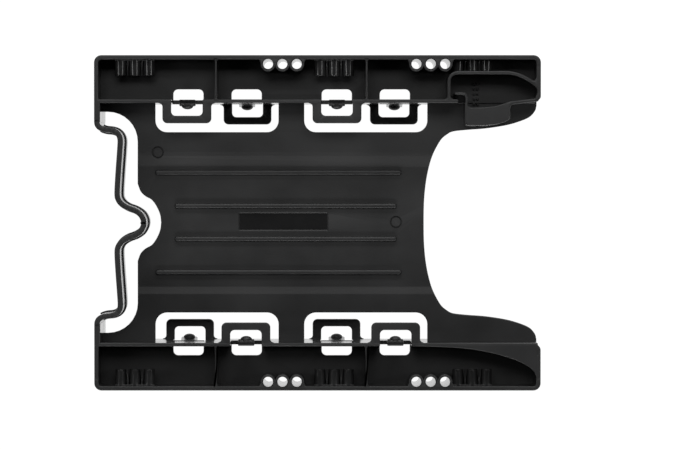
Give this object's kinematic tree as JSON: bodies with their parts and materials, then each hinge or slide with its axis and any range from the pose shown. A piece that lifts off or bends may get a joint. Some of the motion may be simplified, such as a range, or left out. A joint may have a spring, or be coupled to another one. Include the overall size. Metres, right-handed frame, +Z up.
{
  "type": "drive mounting bracket",
  "caption": "Black plastic bracket that holds small drives above and below a middle plate, with spring latches and gripping fingers, for a larger drive bay.",
  "frame": {"origin": "centre of the bracket's footprint, on its lower rim", "axes": "+X towards the open end where the drives slide in, +Y towards the left rail, +Z up through the middle plate"},
  "size_m": [0.1338, 0.1006, 0.0261],
  "materials": {
    "black_abs": "fine matte moulded black ABS"
  },
  "bodies": {
    "root": {"centre_plate": "black_abs", "left_outer_wall": "black_abs", "left_inner_wall": "black_abs", "left_front_end_wall": "black_abs", "left_rear_end_wall": "black_abs", "left_channel_floor_rear": "black_abs", "left_channel_floor_middle": "black_abs", "left_channel_floor_front": "black_abs", "left_channel_rib_rear": "black_abs", "left_channel_rib_front": "black_abs", "left_upper_latch_pocket_wall": "black_abs", "left_lower_corner_gusset": "black_abs", "left_base_screw_bosses_rear": "black_abs", "left_base_screw_bosses_front": "black_abs", "left_upper_side_screw_tubes_rear": "black_abs", "left_upper_side_screw_tubes_middle": "black_abs", "left_upper_side_screw_tubes_front": "black_abs", "left_upper_drive_tab_rear": "black_abs", "left_upper_drive_tab_front": "black_abs", "left_lower_side_screw_tubes_rear": "black_abs", "left_lower_side_screw_tubes_middle": "black_abs", "left_lower_side_screw_tubes_front": "black_abs", "left_lower_drive_tab_rear": "black_abs", "left_lower_drive_tab_front": "black_abs", "right_outer_wall": "black_abs", "right_inner_wall": "black_abs", "right_front_end_wall": "black_abs", "right_rear_end_wall": "black_abs", "right_channel_floor_rear": "black_abs", "right_channel_floor_middle": "black_abs", "right_channel_floor_front": "black_abs", "right_channel_rib_rear": "black_abs", "right_channel_rib_front": "black_abs", "right_lower_latch_pocket_wall": "black_abs", "right_upper_corner_gusset": "black_abs", "right_base_screw_bosses_rear": "black_abs", "right_base_screw_bosses_front": "black_abs", "right_upper_side_screw_tubes_rear": "black_abs", "right_upper_side_screw_tubes_middle": "black_abs", "right_upper_side_screw_tubes_front": "black_abs", "right_upper_drive_tab_rear": "black_abs", "right_upper_drive_tab_front": "black_abs", "right_lower_side_screw_tubes_rear": "black_abs", "right_lower_side_screw_tubes_middle": "black_abs", "right_lower_side_screw_tubes_front": "black_abs", "right_lower_drive_tab_rear": "black_abs", "right_lower_drive_tab_front": "black_abs"},
    "rear_spring": {"rear_spring": "black_abs"},
    "left_upper_latch_lever": {"left_upper_latch_lever": "black_abs"},
    "left_upper_grip_finger_rear": {"left_upper_grip_finger_rear": "black_abs"},
    "left_upper_grip_finger_front": {"left_upper_grip_finger_front": "black_abs"},
    "left_lower_grip_finger_rear": {"left_lower_grip_finger_rear": "black_abs"},
    "left_lower_grip_finger_front": {"left_lower_grip_finger_front": "black_abs"},
    "right_lower_latch_lever": {"right_lower_latch_lever": "black_abs"},
    "right_lower_grip_finger_rear": {"right_lower_grip_finger_rear": "black_abs"},
    "right_lower_grip_finger_front": {"right_lower_grip_finger_front": "black_abs"},
    "right_upper_grip_finger_rear": {"right_upper_grip_finger_rear": "black_abs"},
    "right_upper_grip_finger_front": {"right_upper_grip_finger_front": "black_abs"}
  },
  "joints": [
    {"name": "rear_spring_press", "type": "slide", "parent": "root", "child": "rear_spring", "axis": [-1, 0, 0], "range_m": [0, 0.0045], "stiffness_N_per_m": 3000},
    {"name": "left_upper_latch_flex", "type": "hinge", "parent": "root", "child": "left_upper_latch_lever", "pos_m": [0.0643, 0.0368, 0.02017], "axis": [0, 0, -1], "range_deg": [0, 13], "stiffness_Nm_per_rad": 0.45},
    {"name": "left_upper_grip_flex_rear", "type": "hinge", "parent": "root", "child": "left_upper_grip_finger_rear", "pos_m": [-0.0391, 0.0364, 0.01415], "axis": [-1, 0, 0], "range_deg": [0, 8], "stiffness_Nm_per_rad": 0.12},
    {"name": "left_upper_grip_flex_front", "type": "hinge", "parent": "root", "child": "left_upper_grip_finger_front", "pos_m": [0.00585, 0.0364, 0.01415], "axis": [-1, 0, 0], "range_deg": [0, 8], "stiffness_Nm_per_rad": 0.12},
    {"name": "left_lower_grip_flex_rear", "type": "hinge", "parent": "root", "child": "left_lower_grip_finger_rear", "pos_m": [-0.02145, 0.0364, 0.01195], "axis": [1, 0, 0], "range_deg": [0, 8], "stiffness_Nm_per_rad": 0.12},
    {"name": "left_lower_grip_flex_front", "type": "hinge", "parent": "root", "child": "left_lower_grip_finger_front", "pos_m": [0.02345, 0.0364, 0.01195], "axis": [1, 0, 0], "range_deg": [0, 8], "stiffness_Nm_per_rad": 0.12},
    {"name": "right_lower_latch_flex", "type": "hinge", "parent": "root", "child": "right_lower_latch_lever", "pos_m": [0.0643, -0.0368, 0.00592], "axis": [0, 0, 1], "range_deg": [0, 13], "stiffness_Nm_per_rad": 0.45},
    {"name": "right_lower_grip_flex_rear", "type": "hinge", "parent": "root", "child": "right_lower_grip_finger_rear", "pos_m": [-0.0391, -0.0364, 0.01195], "axis": [-1, 0, 0], "range_deg": [0, 8], "stiffness_Nm_per_rad": 0.12},
    {"name": "right_lower_grip_flex_front", "type": "hinge", "parent": "root", "child": "right_lower_grip_finger_front", "pos_m": [0.00585, -0.0364, 0.01195], "axis": [-1, 0, 0], "range_deg": [0, 8], "stiffness_Nm_per_rad": 0.12},
    {"name": "right_upper_grip_flex_rear", "type": "hinge", "parent": "root", "child": "right_upper_grip_finger_rear", "pos_m": [-0.02145, -0.0364, 0.01415], "axis": [1, 0, 0], "range_deg": [0, 8], "stiffness_Nm_per_rad": 0.12},
    {"name": "right_upper_grip_flex_front", "type": "hinge", "parent": "root", "child": "right_upper_grip_finger_front", "pos_m": [0.02345, -0.0364, 0.01415], "axis": [1, 0, 0], "range_deg": [0, 8], "stiffness_Nm_per_rad": 0.12}
  ]
}
